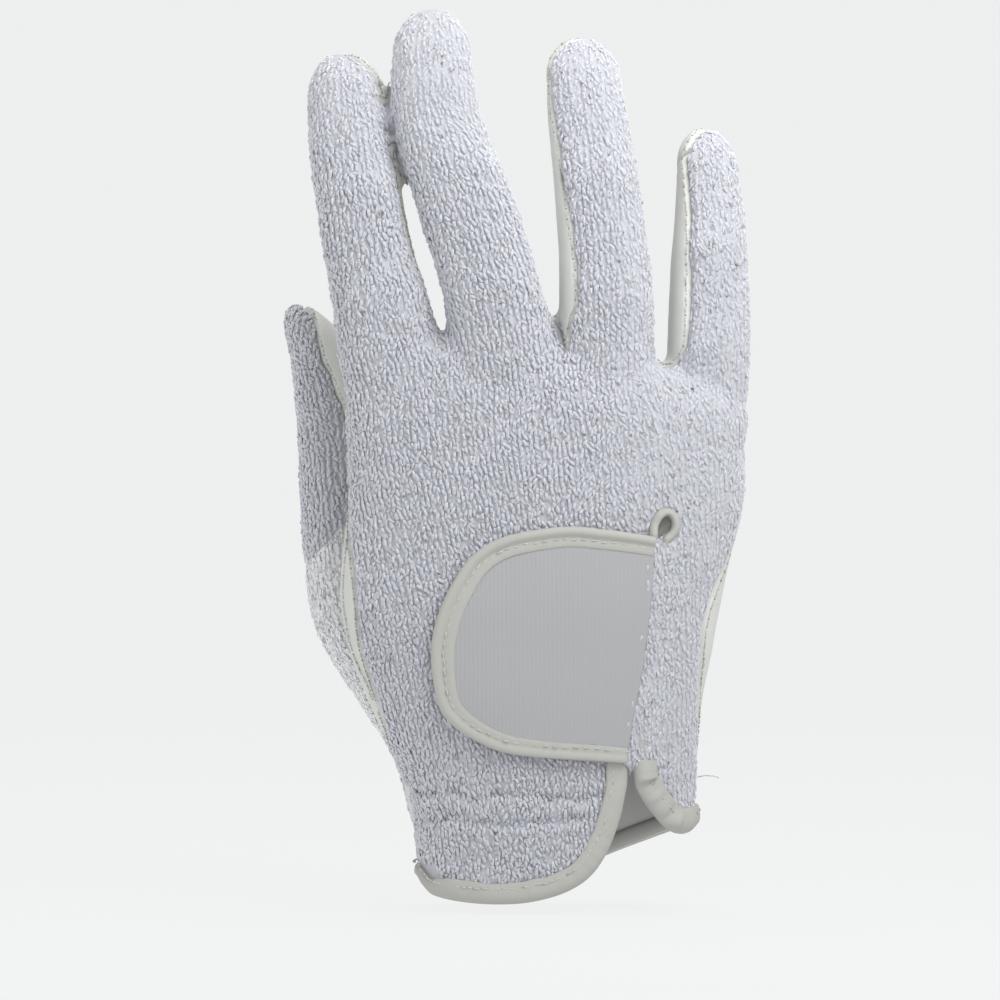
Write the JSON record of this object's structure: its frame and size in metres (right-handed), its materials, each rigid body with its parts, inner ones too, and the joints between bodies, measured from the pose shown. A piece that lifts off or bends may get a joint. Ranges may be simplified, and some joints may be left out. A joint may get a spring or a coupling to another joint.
{
  "type": "racquet glove",
  "caption": "Right-hand racquet glove: terry back and thumb, smooth palm and finger side walls, bound wrist slit closed by a D-shaped strap tab.",
  "frame": {"origin": "middle of the wrist opening, level with the lowest stretch of the hem, where the worn glove sits on the wrist", "axes": "+Z from the hem to the fingertips, +X across the hand to the little finger, -Y the back of the hand, +Y the palm"},
  "size_m": [0.1115, 0.0618, 0.2089],
  "materials": {
    "terry": "looped white cotton terry, ribs along the hand",
    "leather": "smooth matt white synthetic leather",
    "ribbed_fabric": "fine ribbed elastic fabric, pale grey white",
    "binding_tape": "folded synthetic binding tape, satin off-white"
  },
  "bodies": {
    "root": {"back_panel": "terry", "palm_panel": "leather", "fourchette_index_middle": "leather", "fourchette_middle_ring": "leather", "fourchette_ring_little": "leather", "thumb_back": "terry", "thumb_front": "leather", "closure_tab": "ribbed_fabric", "tab_binding": "binding_tape", "hem_binding": "binding_tape", "slit_binding": "binding_tape"}
  },
  "joints": []
}
